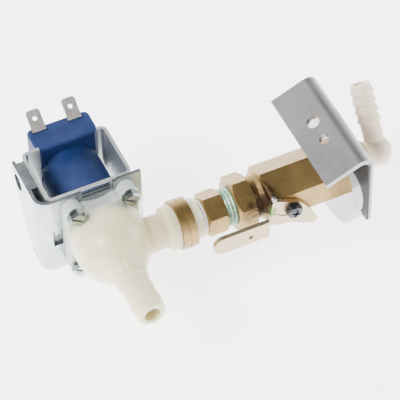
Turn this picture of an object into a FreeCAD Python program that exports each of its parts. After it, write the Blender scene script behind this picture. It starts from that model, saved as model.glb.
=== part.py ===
import FreeCAD, Part
import math
import os

# Solenoid water valve with its shut-off ball valve, mounting brackets and hose elbow.
# Millimetres. The origin is where the pipe axis (X) crosses the solenoid axis (Y).
# +X runs along the pipe towards the elbow, -Y points out of the outlet barb, +Z is up.

VECTOR = FreeCAD.Vector
ALONG_X = VECTOR(1, 0, 0)
ALONG_Y = VECTOR(0, 1, 0)
BEYOND = 60.0                # clear of the whole coil frame, for cutting blocks

# Sheet metal around the coil
SHEET = 1.5                  # thickness of the zinc-plated steel
PLATE_Y = 16.45              # front face of the mounting bracket
FRAME_HALF_Z = 21.4          # half height of bracket and yoke
BRACKET_LEFT, BRACKET_RIGHT = -26.5, 20.4
BRACKET_BACK = 45.3
BRACKET_BEND = 6.0           # outer bend radius
LEG_HOLE_R, LEG_HOLE_Y, LEG_HOLE_Z = 3.9, 39.0, 14.6
LEG_SLOT = (25.2, 32.6, -16.9, -14.7)          # y from, to and z from, to
WINDOW = (-20.8, -16.6, -6.3, 3.2)             # x from, to and z from, to
WINDOW_TAB = (-19.9, -17.3, 0.2, 3.2)
RAISED_FROM, RAISED_HIGH = 9.5, 0.7            # step in the top edge
# lower rear outline of the side leg, as (y, z)
LEG_TAPER = ((46.3, 17.4), (36.4, -3.0), (34.6, -10.5), (30.5, -15.5), (24.5, -19.3), (17.0, -21.9))
YOKE_LEFT, YOKE_RIGHT = -21.7, 17.3
YOKE_BACK = 47.7
YOKE_BEND = 3.2
YOKE_Y = PLATE_Y + SHEET     # front face of the yoke
YOKE_WINDOW_HALF, YOKE_WINDOW_FROM = 13.2, 6.0 # opening above the pole post
YOKE_SLOT = (-6.0, 7.0, 17.7, 20.5)            # x from, to and z from, to, behind the notch
SHIM = (27.5, 43.5, 2.0)     # y from, to and lower z
SHIM_GAP = 0.02
NOTCH_LEFT, NOTCH_RIGHT, NOTCH_DEEP = -6.5, 7.5, 3.5
SPIGOT_R = 6.8               # bonnet spigot through bracket and yoke
HOLE_PLAY = 0.2

# Coil
COIL_R = 13.85
COIL_FRONT = YOKE_Y + SHEET + 0.6
COIL_BACK = YOKE_BACK - SHEET
BOBBIN_R, BOBBIN_BORE = 6.4, 5.5
BOBBIN_FLANGE_R = 12.2
WINDING_R = 11.6
FRONT_SKIN, BACK_SKIN, BOBBIN_WALL = 1.0, 1.2, 1.0
BOBBIN_GAP = 0.2             # end play of the bobbin
WINDING_FRONT = COIL_FRONT + FRONT_SKIN + BOBBIN_WALL
WINDING_BACK = COIL_BACK - BACK_SKIN - BOBBIN_WALL
NECK_HALF, NECK_BOTTOM = 13.0, 6.2             # moulding that passes through the yoke
BLOCK_LEFT, BLOCK_RIGHT = -14.0, 14.7
BLOCK_BACK, BLOCK_TOP, BLOCK_BOTTOM = 61.3, 18.6, -7.0
BLOCK_CORNER, BLOCK_EDGE = 2.6, 0.9
BLOCK_FRONT = YOKE_BACK + 0.3
TERMINAL_WIDTH, TERMINAL_THICK = 6.35, 0.8
TERMINAL_X, TERMINAL_Y = 8.2, 59.3
TERMINAL_LENGTH, TERMINAL_TILT = 9.0, 57.0
TERMINAL_SUNK, TERMINAL_LEG, TERMINAL_CORNER = 0.4, 9.0, 1.0
TERMINAL_HOLE_R, TERMINAL_HOLE_AT = 1.0, 5.4
POCKET_HALF, POCKET_FRONT, POCKET_WALL, POCKET_DEEP = 3.5, 1.6, 0.6, 1.1   # recess at the blade's root

# Armature parts on the solenoid axis
TUBE_R, TUBE_BORE = 5.4, 4.9
PLUNGER_R = 4.84
PLUNGER_FRONT, PLUNGER_BACK = 17.2, 31.4
NOSE_R, NOSE_FRONT = 2.6, 15.2
SEAL_R, SEAL_FRONT, SEAL_BACK = 1.6, 15.0, 16.6
POLE_FRONT = 34.0
POLE_POST_R = 3.4            # post riveted through the yoke
TUBE_FRONT = 15.6
SHADING_GROOVE = (3.3, 4.2, 0.9)               # shading ring groove: inner and outer radius, depth
RING_PLAY = 0.05
SPRING_R, SPRING_WIRE_R, SPRING_TURNS = 2.1, 0.28, 6
SPRING_POCKET_R, SPRING_POCKET_DEEP = 2.7, 6.0

# Valve body
FLANGE_FRONT, FLANGE_BACK = 10.5, 14.0
FLANGE_HALF = 16.4           # half width of the flange between its screws
SCREW_X, SCREW_Z = 12.4, 16.6
EAR_R = 3.9
SCREW_TURN, SCREW_SLOT_TURN = 20, 35           # degrees
SCREW_WASHER_HIGH, SCREW_SLOT_DEEP, SCREW_SLOT_HALF = 0.8, 1.1, 0.5
SCREW_R, SCREW_WASHER_R, SCREW_HEAD_R, SCREW_HEAD_HIGH = 1.7, 4.0, 3.5, 3.5
DOME_R = 16.4
CHAMBER_R = 13.2
OUTLET_R, OUTLET_BORE = 6.4, 3.6
OUTLET_TIP = -39.5
SEAT_Y, SEAT_R = 11.6, 4.6
DIAPHRAGM_R, DIAPHRAGM_HOLE_R, DIAPHRAGM_THICK = 14.5, 5.2, 0.8
CHAMBER_BACK = 15.6
INSERT_R, INSERT_PLAY, INSERT_CAP, PILOT_R = 6.4, 0.05, 0.8, 0.6
STRAINER_RIM = (26.2, 27.4, 6.4, 4.4)          # x from, to, outer and inner radius
STRAINER_CONE = ((13.4, 2.6), (26.4, 4.5))
STRAINER_CONE_INSIDE = ((13.0, 0.0), (14.2, 2.1), (27.0, 4.0))
INLET_R, INLET_BORE = 7.8, 4.6
COLLAR_R = 9.8
PORT_R, PORT_END = 9.4, 39.0
PORT_THREAD_R = 6.6
RING_R = 11.0
RING_FROM, RING_TO = 27.6, 34.3
RING_GROOVE_DEEP, RING_GROOVE_FROM, RING_GROOVE_TO = 0.35, 30.4, 31.0
# turned outlines of the moulding, as (place on the axis, radius)
DOME_PROFILE = ((FLANGE_FRONT + 0.5, DOME_R), (0.0, DOME_R), (-3.0, DOME_R - 0.5), (-5.8, DOME_R - 1.6),
                (-8.2, 13.4), (-11.0, 11.2), (-13.6, 9.2), (-15.8, 7.9), (-18.0, 7.2))
OUTLET_PROFILE = ((-17.0, OUTLET_R + 0.9), (-20.6, OUTLET_R + 0.8), (-21.4, OUTLET_R),
                  (-24.6, OUTLET_R - 0.2), (-25.2, OUTLET_R + 0.5), (-30.6, OUTLET_R - 0.2),
                  (-31.2, OUTLET_R + 0.5), (-37.6, OUTLET_R - 0.1), (OUTLET_TIP + 0.4, OUTLET_R - 0.5),
                  (OUTLET_TIP, OUTLET_R - 0.9))
INLET_PROFILE = ((4.0, INLET_R), (22.4, INLET_R), (23.6, COLLAR_R), (RING_FROM, COLLAR_R),
                 (RING_FROM, PORT_R), (RING_TO + 1.0, PORT_R), (RING_TO + 1.2, PORT_R - 0.3),
                 (PORT_END - 1.4, PORT_R - 0.3), (PORT_END - 0.4, PORT_R - 0.8), (PORT_END, PORT_R - 1.6))
CHAMBER_PROFILE = ((FLANGE_BACK - DIAPHRAGM_THICK, CHAMBER_R), (1.0, CHAMBER_R), (-2.0, 11.8))
RIB_HALF = 1.4
RIB_PROFILE = ((-8.0, 2.0), (-8.0, 9.0), (-14.0, 9.0), (-24.0, 5.8), (-24.0, 2.0))    # (y, z)
FLANGE_HOLLOW_R, FLANGE_HOLLOW_OUT = 14.0, 12.6

# Brass line
PIPE_BORE = 3.6
FIT = 0.02                   # radial play of the fixed fits
NIPPLE_HEX, NIPPLE_FROM, NIPPLE_TO = 17.0, 40.2, 49.5
NIPPLE_START, NIPPLE_STOP = 30.0, 60.4
THREAD_R = 8.55              # 3/8 inch pipe thread
THREAD_PITCH, THREAD_DEEP = 1.41, 0.55
TAPE_R = 7.5
BALL_VALVE_HEX = 22.2
VALVE_FROM, NECK_FROM, BARREL_FROM, VALVE_TO = 53.5, 62.3, 66.5, 100.3
NECK_R, SHOULDER_R, NECK_FLARE = 9.6, 11.0, 1.6
CAVITY_R, CAVITY_FROM = 8.0, 69.0
STEM_X = 77.0
BALL_R = 6.0
SEAT_THICK = 3.0
STEM_R, STEM_CLEAR = 2.5, 0.06
STEM_FLANGE_R, STEM_FLANGE_Y = 3.3, -6.2
TONGUE_HALF, TONGUE_THICK, TONGUE_PLAY = 2.3, 1.5, 0.05
BALL_CUT = -4.6              # floor of the slot in the ball
GLAND_R = 5.0
PACKING_FRONT, PACKING_BACK = -9.9, -8.7
SCREW_BORE_R = 1.5

# Lever
LEVER_INNER, LEVER_THICK = -11.4, 2.0
# outline of the hub plate, as (x, z)
LEVER_HUB = ((66.4, -5.4), (66.4, 0.8), (67.2, 7.4), (67.5, 8.2), (69.0, 8.4), (79.7, 3.2), (81.4, 1.4),
             (85.3, -4.1), (88.4, -10.6), (88.4, -12.4), (87.4, -13.6), (86.0, -13.8), (82.6, -11.9),
             (74.8, -7.8), (69.7, -6.9))
LEVER_SLIT = ((65.0, 1.9), (65.0, 2.5), (73.9, -2.3), (73.6, -2.9))
HANDLE_JOG = 5.6
JOG_INNER = (70.0, 67.2, 64.0)   # x of the jog's top, bend and foot on the valve side
JOG_OUTER = (62.8, 66.4)         # x of its foot and bend on the outside
JOG_END = 61.0
JOG_TRIM = ((63.4, 4.2), (68.4, 0.2), (72.0, -1.6))     # upper edge of the jog, as (x, z)
HANDLE_HALF, HANDLE_END, HANDLE_Z = 4.6, 37.5, -0.4
HANDLE_HOLE_R, HANDLE_HOLE_X, HANDLE_HOLE_Z = 1.0, 54.4, -1.1
LEVER_SCREW_END = -9.6
# lever screw head, as (height above the lever, radius)
LEVER_SCREW_PROFILE = ((0.0, 3.9), (0.8, 3.9), (0.85, 3.6), (2.0, 3.6), (2.8, 3.1), (3.3, 2.0))
RECESS_HALF, RECESS_FROM, RECESS_WIDE = 2.1, 1.9, 0.9
STOP_R, STOP_X, STOP_Z, STOP_TIP = 1.25, 68.15, 10.0, -12.9

# Bulkhead end
WASHER_R, WASHER_TO = 24.5, 105.3
STEEL = 2.3                  # stainless bracket sheet
STEEL_FACE = 107.6
STEEL_HALF_Y = 26.3
STEEL_BOTTOM = -8.4
STEEL_LIP_X, STEEL_LIP_Z, STEEL_SLOPE = 85.5, 24.2, 23.1
STEEL_BEND = 5.0
STEEL_HOLE_ALONG = 10.1
STEEL_HOLES = ((4.7, 2.9), (-6.0, 2.3))   # place along Y, radius
TAIL_R, TAIL_PLAY = 6.5, 0.05
TAIL_TO = 116.0
SOCKET_HEX, SOCKET_TO = 17.0, 114.0
SLEEVE_R, SLEEVE_TO, ARM_R = 8.0, 118.0, 6.0
ELBOW_X = 124.0
ELBOW_RISE = 54.0            # angle of the hose barb above +Y
BARB_LENGTH = 31.0
BARB_R, BARB_BORE = 4.5, 2.6
BARB_RIDGES, RIDGE_PITCH, RIDGE_LONG, RIDGE_HIGH = 4, 4.2, 3.4, 0.9
KNOB_R, BARB_FROM = 6.6, 5.4   # corner knob, and where the barb leaves it


def point(x, y, z):
    return VECTOR(x, y, z)


def rod_x(radius, start, stop, y=0.0, z=0.0):
    return Part.makeCylinder(radius, stop - start, point(start, y, z), ALONG_X)


def rod_y(radius, start, stop, x=0.0, z=0.0):
    return Part.makeCylinder(radius, stop - start, point(x, start, z), ALONG_Y)


def tube_x(outer, inner, start, stop):
    return rod_x(outer, start, stop).cut(rod_x(inner, start - 1, stop + 1))


def tube_y(outer, inner, start, stop):
    return rod_y(outer, start, stop).cut(rod_y(inner, start - 1, stop + 1))


def block(x0, x1, y0, y1, z0, z1):
    return Part.makeBox(x1 - x0, y1 - y0, z1 - z0, point(x0, y0, z0))


def join(shapes):
    return shapes[0].multiFuse(shapes[1:]).removeSplitter()


def prism(points, sweep):
    wire = Part.makePolygon(points + points[:1])
    return Part.Face(wire).extrude(sweep)


def turned(profile, axis):
    """Solid of revolution: profile is (distance along axis, radius) pairs, closed on the axis."""
    along = ALONG_X if axis == "x" else ALONG_Y
    outline = [(profile[0][0], 0.0)] + list(profile) + [(profile[-1][0], 0.0)]
    if axis == "x":
        points = [point(a, r, 0) for a, r in outline]
    else:
        points = [point(r, a, 0) for a, r in outline]
    face = Part.Face(Part.makePolygon(points + points[:1]))
    return face.revolve(point(0, 0, 0), along, 360)


def hexagon_x(across_flats, start, stop):
    """Hexagonal bar along X with two flats facing +Y and -Y."""
    corner = across_flats / 2 / math.cos(math.radians(30))
    angles = [math.radians(30 + 60 * i) for i in range(6)]
    points = [point(start, corner * math.cos(a), corner * math.sin(a)) for a in angles]
    return prism(points, point(stop - start, 0, 0))


def chamfered_hexagon_x(across_flats, start, stop, at_start=True, at_stop=True):
    """Hexagonal bar whose corners are turned off at 30 degrees at its ends."""
    corner = across_flats / 2 / math.cos(math.radians(30)) + 0.05
    low = across_flats / 2 - 0.3
    depth = (corner - low) * math.tan(math.radians(30))
    profile = [(start, low if at_start else corner), (start + depth, corner),
               (stop - depth, corner), (stop, low if at_stop else corner)]
    return hexagon_x(across_flats, start, stop).common(turned(profile, "x"))


def rounded_rectangle(x0, x1, y0, y1, radius, z0, z1):
    body = block(x0, x1, y0, y1, z0, z1)
    upright = [e for e in body.Edges if abs(e.Vertexes[0].Z - e.Vertexes[1].Z) > 1]
    return body.makeFillet(radius, upright)


def round_edges(body, radius, wanted):
    edges = [e for e in body.Edges if wanted(e)]
    return body.makeFillet(radius, edges)


def save(name, shape):
    os.makedirs("parts", exist_ok=True)
    shape.exportStep("parts/" + name + ".step")


def four_screw_places():
    return [(x, z) for x in (-SCREW_X, SCREW_X) for z in (-SCREW_Z, SCREW_Z)]


def screw_holes(start, stop, radius=SCREW_R + 0.05):
    return [rod_y(radius, start, stop, x, z) for x, z in four_screw_places()]


# --- coil frame -------------------------------------------------------------

def bracket_sheet():
    """L-shaped sheet with the bend between its front plate and its side leg."""
    outer = rounded_rectangle(BRACKET_LEFT, 2 * BEYOND, PLATE_Y, 2 * BEYOND, BRACKET_BEND,
                              -FRAME_HALF_Z, FRAME_HALF_Z)
    inner = rounded_rectangle(BRACKET_LEFT + SHEET, 2 * BEYOND + 1, PLATE_Y + SHEET, 2 * BEYOND + 1,
                              BRACKET_BEND - SHEET, -FRAME_HALF_Z - 1, FRAME_HALF_Z + 1)
    return outer.cut(inner).common(block(-BEYOND, BRACKET_RIGHT, 0, BRACKET_BACK, -BEYOND, BEYOND))


def bracket_plate():
    """Front plate of the mounting bracket, up to the start of the bend."""
    body = bracket_sheet().common(block(BRACKET_LEFT + BRACKET_BEND, BEYOND, 0, YOKE_Y, -BEYOND, BEYOND))
    cuts = [block(NOTCH_LEFT, NOTCH_RIGHT, 0, YOKE_Y, FRAME_HALF_Z - NOTCH_DEEP, BEYOND),
            block(WINDOW[0], WINDOW[1], 0, YOKE_Y, WINDOW[2], WINDOW[3]),
            rod_y(SPIGOT_R + HOLE_PLAY, 0, YOKE_Y)]
    for cut in cuts + screw_holes(0, YOKE_Y):
        body = body.cut(cut)
    raised_end = block(RAISED_FROM, BRACKET_RIGHT, PLATE_Y, YOKE_Y, FRAME_HALF_Z, FRAME_HALF_Z + RAISED_HIGH)
    window_tab = block(max(WINDOW_TAB[0], BRACKET_LEFT + BRACKET_BEND), WINDOW_TAB[1],
                       PLATE_Y + 0.5, YOKE_Y, WINDOW_TAB[2], WINDOW_TAB[3])
    return join([body, window_tab, raised_end])


def bracket_leg():
    """Bend and side leg of the mounting bracket, tapered towards its lower front corner."""
    body = bracket_sheet().common(block(-BEYOND, BRACKET_LEFT + BRACKET_BEND, 0, BEYOND, -BEYOND, BEYOND))
    left = BRACKET_LEFT - 1
    right = BRACKET_LEFT + SHEET + 1
    behind = BRACKET_BACK + 5
    outline = [point(left, y, z) for y, z in LEG_TAPER]
    outline += [point(left, behind, -FRAME_HALF_Z - 1), point(left, behind, LEG_TAPER[0][1])]
    cuts = [prism(outline, point(right - left, 0, 0)),
            rod_x(LEG_HOLE_R, left, right, LEG_HOLE_Y, LEG_HOLE_Z),
            block(left, right, *LEG_SLOT),
            block(WINDOW[0], WINDOW[1], 0, YOKE_Y, WINDOW[2], WINDOW[3])]
    for cut in cuts:
        body = body.cut(cut)
    return body


def yoke_frame():
    outer = rounded_rectangle(YOKE_LEFT, YOKE_RIGHT, YOKE_Y, YOKE_BACK, YOKE_BEND,
                              -FRAME_HALF_Z, FRAME_HALF_Z)
    inner = rounded_rectangle(YOKE_LEFT + SHEET, YOKE_RIGHT - SHEET, YOKE_Y + SHEET, YOKE_BACK - SHEET,
                              YOKE_BEND - SHEET, -FRAME_HALF_Z - 1, FRAME_HALF_Z + 1)
    body = outer.cut(inner)
    body = body.cut(block(-YOKE_WINDOW_HALF, YOKE_WINDOW_HALF, COIL_BACK - 0.5, YOKE_BACK + 1,
                          YOKE_WINDOW_FROM, BEYOND))
    x0, x1, z0, z1 = YOKE_SLOT
    body = body.cut(block(x0, x1, YOKE_Y - 1, YOKE_Y + SHEET + 1, z0, z1))
    body = body.cut(rod_y(SPIGOT_R + HOLE_PLAY, YOKE_Y - 1, YOKE_Y + SHEET + 1))
    body = body.cut(rod_y(POLE_POST_R + 0.1, COIL_BACK - 1, YOKE_BACK + 1))
    for hole in screw_holes(YOKE_Y - 1, YOKE_Y + SHEET + 1):
        body = body.cut(hole)
    return body


def yoke_shims():
    """Two spacer strips packed between the yoke and the bracket's side leg."""
    low, high = BRACKET_LEFT + SHEET, YOKE_LEFT
    half = (high - low) / 2
    strips = []
    for i in range(2):
        x0 = low + i * half + SHIM_GAP
        strip = block(x0, x0 + half - 2 * SHIM_GAP, SHIM[0], SHIM[1], SHIM[2], FRAME_HALF_Z)
        strips.append(strip.cut(rod_x(LEG_HOLE_R, low - 1, high + 1, LEG_HOLE_Y, LEG_HOLE_Z)))
    return Part.makeCompound(strips)


# --- coil ---------------------------------------------------------------------

def coil_bobbin():
    core = tube_y(BOBBIN_R, BOBBIN_BORE, COIL_FRONT, COIL_BACK - BOBBIN_GAP)
    front = tube_y(BOBBIN_FLANGE_R, BOBBIN_BORE, COIL_FRONT + FRONT_SKIN, WINDING_FRONT)
    back = tube_y(BOBBIN_FLANGE_R, BOBBIN_BORE, WINDING_BACK, COIL_BACK - BACK_SKIN)
    return join([core, front, back])


def coil_winding():
    return tube_y(WINDING_R, BOBBIN_R, WINDING_FRONT, WINDING_BACK)


def terminal(x):
    """Spade blade leaning back from the block, with its hidden leg inside."""
    tilt = math.radians(TERMINAL_TILT)
    out = (math.sin(tilt), math.cos(tilt))
    across = (math.cos(tilt) * TERMINAL_THICK / 2, -math.sin(tilt) * TERMINAL_THICK / 2)
    root = (TERMINAL_Y, BLOCK_TOP - TERMINAL_SUNK)
    reach = TERMINAL_LENGTH + TERMINAL_SUNK
    tip = (root[0] + out[0] * reach, root[1] + out[1] * reach)
    half = TERMINAL_WIDTH / 2
    blade = prism([point(x - half, root[0] - across[0], root[1] - across[1]),
                   point(x - half, tip[0] - across[0], tip[1] - across[1]),
                   point(x - half, tip[0] + across[0], tip[1] + across[1]),
                   point(x - half, root[0] + across[0], root[1] + across[1])],
                  point(TERMINAL_WIDTH, 0, 0))
    corners = [e for e in blade.Edges
               if abs(e.CenterOfMass.z - tip[1]) < 0.1 and abs(e.Length - TERMINAL_THICK) < 0.01]
    blade = blade.makeChamfer(TERMINAL_CORNER, corners)
    hole_at = (root[0] + out[0] * TERMINAL_HOLE_AT, root[1] + out[1] * TERMINAL_HOLE_AT)
    drill = point(0, out[1], -out[0])
    hole_start = point(x, hole_at[0], hole_at[1]) - drill * 2
    blade = blade.cut(Part.makeCylinder(TERMINAL_HOLE_R, 4, hole_start, drill))
    leg = block(x - half, x + half, root[0] - TERMINAL_THICK / 2, root[0] + TERMINAL_THICK / 2,
                root[1] - TERMINAL_LEG, root[1])
    knee = Part.makeCylinder(TERMINAL_THICK / 2, TERMINAL_WIDTH, point(x - half, root[0], root[1]), ALONG_X)
    return join([blade, leg, knee])


def coil_terminals():
    return Part.makeCompound([terminal(-TERMINAL_X), terminal(TERMINAL_X)])


def coil_shell():
    """Overmoulded case: a drum round the winding and the terminal block behind the yoke."""
    drum = rod_y(COIL_R, COIL_FRONT, COIL_BACK)
    neck = rod_y(COIL_R, COIL_BACK, BLOCK_FRONT)
    neck = neck.common(block(-NECK_HALF, NECK_HALF, COIL_BACK, BLOCK_FRONT, NECK_BOTTOM, BEYOND))
    head = block(BLOCK_LEFT, BLOCK_RIGHT, BLOCK_FRONT, BLOCK_BACK, BLOCK_BOTTOM, BLOCK_TOP)
    head = round_edges(head, BLOCK_CORNER, lambda e: abs(e.Vertexes[0].Z - e.Vertexes[-1].Z) > 20)
    head = round_edges(head, BLOCK_EDGE, lambda e: e.CenterOfMass.z > BLOCK_TOP - 0.01)
    body = join([drum, neck, head])
    hollow = tube_y(BOBBIN_FLANGE_R, BOBBIN_R, COIL_FRONT + FRONT_SKIN, COIL_BACK - BACK_SKIN)
    body = body.cut(rod_y(BOBBIN_R, COIL_FRONT - 1, COIL_BACK - BOBBIN_GAP))
    body = body.cut(rod_y(BOBBIN_BORE, COIL_BACK - BOBBIN_GAP - 0.1, BLOCK_FRONT).common(
        block(-BOBBIN_R, BOBBIN_R, COIL_FRONT, BLOCK_BACK, -BOBBIN_R, NECK_BOTTOM - BOBBIN_GAP)))
    body = body.cut(hollow)
    for x in (-TERMINAL_X, TERMINAL_X):
        body = body.cut(block(x - POCKET_HALF, x + POCKET_HALF, TERMINAL_Y - POCKET_FRONT,
                              BLOCK_BACK - POCKET_WALL, BLOCK_TOP - POCKET_DEEP, BEYOND))
        body = body.cut(terminal(x))
    return max(body.Solids, key=lambda s: s.Volume)


# --- armature -----------------------------------------------------------------

def guide_tube():
    return tube_y(TUBE_R, TUBE_BORE, TUBE_FRONT, COIL_BACK - SHEET)


def pole_piece():
    body = rod_y(TUBE_BORE, POLE_FRONT, COIL_BACK - BOBBIN_GAP)
    post = rod_y(POLE_POST_R, COIL_BACK - BOBBIN_GAP, YOKE_BACK)
    inner, outer, deep = SHADING_GROOVE
    return join([body, post]).cut(tube_y(outer, inner, POLE_FRONT - 1, POLE_FRONT + deep))


def shading_ring():
    inner, outer, deep = SHADING_GROOVE
    return tube_y(outer - RING_PLAY, inner + RING_PLAY, POLE_FRONT, POLE_FRONT + deep - RING_PLAY)


def plunger():
    body = rod_y(PLUNGER_R, PLUNGER_FRONT, PLUNGER_BACK)
    nose = rod_y(NOSE_R, NOSE_FRONT, PLUNGER_FRONT)
    body = join([body, nose])
    body = body.cut(rod_y(SPRING_POCKET_R, PLUNGER_BACK - SPRING_POCKET_DEEP, PLUNGER_BACK + 1))
    body = body.cut(plunger_seal())
    for side in (-1, 1):
        edge = side * PLUNGER_R
        body = body.cut(block(edge - 0.5, edge + 0.5, PLUNGER_FRONT - 1, PLUNGER_BACK + 1, -0.6, 0.6))
    return body


def plunger_seal():
    return rod_y(SEAL_R, SEAL_FRONT, SEAL_BACK)


def plunger_spring():
    start = PLUNGER_BACK - SPRING_POCKET_DEEP + 0.4
    stop = POLE_FRONT - 0.4
    helix = Part.makeHelix((stop - start) / SPRING_TURNS, stop - start, SPRING_R)
    ring = Part.Wire(Part.makeCircle(SPRING_WIRE_R, point(SPRING_R, 0, 0), ALONG_Y))
    coil = Part.Wire(helix).makePipeShell([ring], True, True)
    coil.rotate(point(0, 0, 0), ALONG_X, -90)
    coil.translate(point(0, start, 0))
    return coil


# --- plastic valve body ---------------------------------------------------------

def flange_outline(start, stop, half):
    """Flange with four screw ears joined by hollowed sides."""
    disc = rod_y(half, start, stop)
    ears = [rod_y(EAR_R, start, stop, x, z) for x, z in four_screw_places()]
    webs = [block(-SCREW_X - EAR_R, SCREW_X + EAR_R, start, stop, -SCREW_Z, SCREW_Z)]
    body = join([disc] + ears + webs)
    for side in (-1, 1):
        body = body.cut(rod_y(FLANGE_HOLLOW_R, start - 1, stop + 1, 0, side * (half + FLANGE_HOLLOW_OUT)))
    return body


def valve_body():
    dome = turned(DOME_PROFILE, "y")
    outlet = turned(OUTLET_PROFILE[::-1], "y")
    inlet = turned(INLET_PROFILE, "x")
    rib = prism([point(-RIB_HALF, y, z) for y, z in RIB_PROFILE], point(2 * RIB_HALF, 0, 0))
    flange = flange_outline(FLANGE_FRONT, FLANGE_BACK, FLANGE_HALF)
    body = join([flange, dome, outlet, inlet, rib])
    chamber = turned(CHAMBER_PROFILE, "y").cut(rod_y(SEAT_R, -10, SEAT_Y))
    body = body.cut(join([chamber, rod_y(CHAMBER_R, SEAT_Y, FLANGE_BACK - DIAPHRAGM_THICK)]))
    body = body.cut(rod_y(DIAPHRAGM_R, FLANGE_BACK - DIAPHRAGM_THICK, FLANGE_BACK + 1))
    body = body.cut(rod_y(OUTLET_BORE, OUTLET_TIP - 1, SEAT_Y + 1))
    body = body.cut(rod_x(INLET_BORE, 9.0, 30.0))
    body = body.cut(rod_x(PORT_THREAD_R, 26.0, PORT_END + 1))
    for hole in screw_holes(0, 20):
        body = body.cut(hole)
    return body


def bonnet():
    body = flange_outline(FLANGE_BACK, PLATE_Y, FLANGE_HALF)
    spigot = rod_y(SPIGOT_R, PLATE_Y - 0.5, COIL_FRONT)
    body = join([body, spigot])
    body = body.cut(rod_y(CHAMBER_R, FLANGE_BACK - 1, CHAMBER_BACK))
    body = body.cut(rod_y(TUBE_R, CHAMBER_BACK, COIL_FRONT + 1))
    for hole in screw_holes(0, 20):
        body = body.cut(hole)
    return body


def diaphragm():
    return tube_y(DIAPHRAGM_R, DIAPHRAGM_HOLE_R, FLANGE_BACK - DIAPHRAGM_THICK, FLANGE_BACK)


def diaphragm_insert():
    below = rod_y(INSERT_R, SEAT_Y + 0.1, FLANGE_BACK - DIAPHRAGM_THICK - INSERT_PLAY)
    stem_part = rod_y(DIAPHRAGM_HOLE_R - 0.1, SEAT_Y + 1, FLANGE_BACK + 0.2)
    above = rod_y(INSERT_R, FLANGE_BACK + INSERT_PLAY, FLANGE_BACK + INSERT_CAP)
    return join([below, stem_part, above]).cut(rod_y(PILOT_R, SEAT_Y, FLANGE_BACK + INSERT_CAP + 1))


def inlet_strainer():
    start, stop, outer, inner = STRAINER_RIM
    cone = turned(STRAINER_CONE, "x").cut(turned(STRAINER_CONE_INSIDE, "x"))
    return join([tube_x(outer, inner, start, stop), cone])


def port_ring():
    ring = tube_x(RING_R, PORT_R, RING_FROM, RING_TO)
    groove = tube_x(RING_R + 1, RING_R - RING_GROOVE_DEEP, RING_GROOVE_FROM, RING_GROOVE_TO)
    return ring.cut(groove)


def body_screws():
    """Hexagon washer-head screws with a slot across the hexagon."""
    screws = []
    for x, z in four_screw_places():
        washer = rod_y(SCREW_WASHER_R, FLANGE_FRONT - SCREW_WASHER_HIGH, FLANGE_FRONT, x, z)
        angles = [math.radians(60 * i + SCREW_TURN) for i in range(6)]
        corners = [point(x + SCREW_HEAD_R * math.cos(a), FLANGE_FRONT - SCREW_HEAD_HIGH,
                         z + SCREW_HEAD_R * math.sin(a)) for a in angles]
        head = prism(corners, point(0, SCREW_HEAD_HIGH, 0))
        shank = rod_y(SCREW_R, FLANGE_FRONT - 0.5, YOKE_Y + SHEET + 0.5, x, z)
        top = FLANGE_FRONT - SCREW_HEAD_HIGH
        slot = block(x - EAR_R, x + EAR_R, top - 1, top + SCREW_SLOT_DEEP,
                     z - SCREW_SLOT_HALF, z + SCREW_SLOT_HALF)
        slot.rotate(point(x, 0, z), ALONG_Y, SCREW_SLOT_TURN)
        screws.append(join([washer, head, shank]).cut(slot))
    return Part.makeCompound(screws)


# --- nipple -----------------------------------------------------------------------

def threaded_x(start, stop, radius, pitch):
    """Thread drawn as a stack of ridges."""
    count = int((stop - start) / pitch)
    step = (stop - start) / count
    profile = []
    for i in range(count):
        profile += [(start + i * step, radius - THREAD_DEEP), (start + (i + 0.5) * step, radius)]
    profile.append((stop, radius - THREAD_DEEP))
    return turned(profile, "x")


def hex_nipple():
    body = chamfered_hexagon_x(NIPPLE_HEX, NIPPLE_FROM, NIPPLE_TO)
    left = rod_x(PORT_THREAD_R - FIT, NIPPLE_START, NIPPLE_FROM + 0.5)
    right = threaded_x(NIPPLE_TO - 0.2, NIPPLE_STOP, THREAD_R - FIT, THREAD_PITCH)
    body = join([body, left, right])
    return body.cut(rod_x(PIPE_BORE, NIPPLE_START - 1, NIPPLE_STOP + 1))


def ptfe_tape():
    return tube_x(TAPE_R, PORT_THREAD_R, PORT_END + 0.05, NIPPLE_FROM - 0.05)


# --- ball valve ---------------------------------------------------------------------

def ball_valve_body():
    foot = chamfered_hexagon_x(BALL_VALVE_HEX, VALVE_FROM, NECK_FROM)
    neck = turned([(NECK_FROM - 0.5, NECK_R), (BARREL_FROM - NECK_FLARE, NECK_R), (BARREL_FROM, SHOULDER_R),
                   (BARREL_FROM + 0.5, SHOULDER_R)], "x")
    barrel = chamfered_hexagon_x(BALL_VALVE_HEX, BARREL_FROM, VALVE_TO, True, False)
    body = join([foot, neck, barrel])
    cuts = [rod_x(THREAD_R, VALVE_FROM - 1, NIPPLE_STOP + 0.1),
            rod_x(PIPE_BORE, NIPPLE_STOP, CAVITY_FROM + 1),
            rod_x(CAVITY_R, CAVITY_FROM, VALVE_TO + 1),
            rod_y(STEM_R + STEM_CLEAR, -BALL_VALVE_HEX, BALL_CUT, STEM_X),
            rod_y(GLAND_R, -BALL_VALVE_HEX, PACKING_BACK, STEM_X)]
    for cut in cuts:
        body = body.cut(cut)
    return body


def stop_pin():
    shaft = rod_y(STOP_R, STOP_TIP, 0, STOP_X, STOP_Z)
    tip = Part.makeSphere(STOP_R, point(STOP_X, STOP_TIP, STOP_Z))
    body = join([shaft, tip])
    return body.cut(chamfered_hexagon_x(BALL_VALVE_HEX, BARREL_FROM, VALVE_TO, True, False))


def ball_pocket():
    return Part.makeSphere(BALL_R + 0.06, point(STEM_X, 0, 0))


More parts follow.
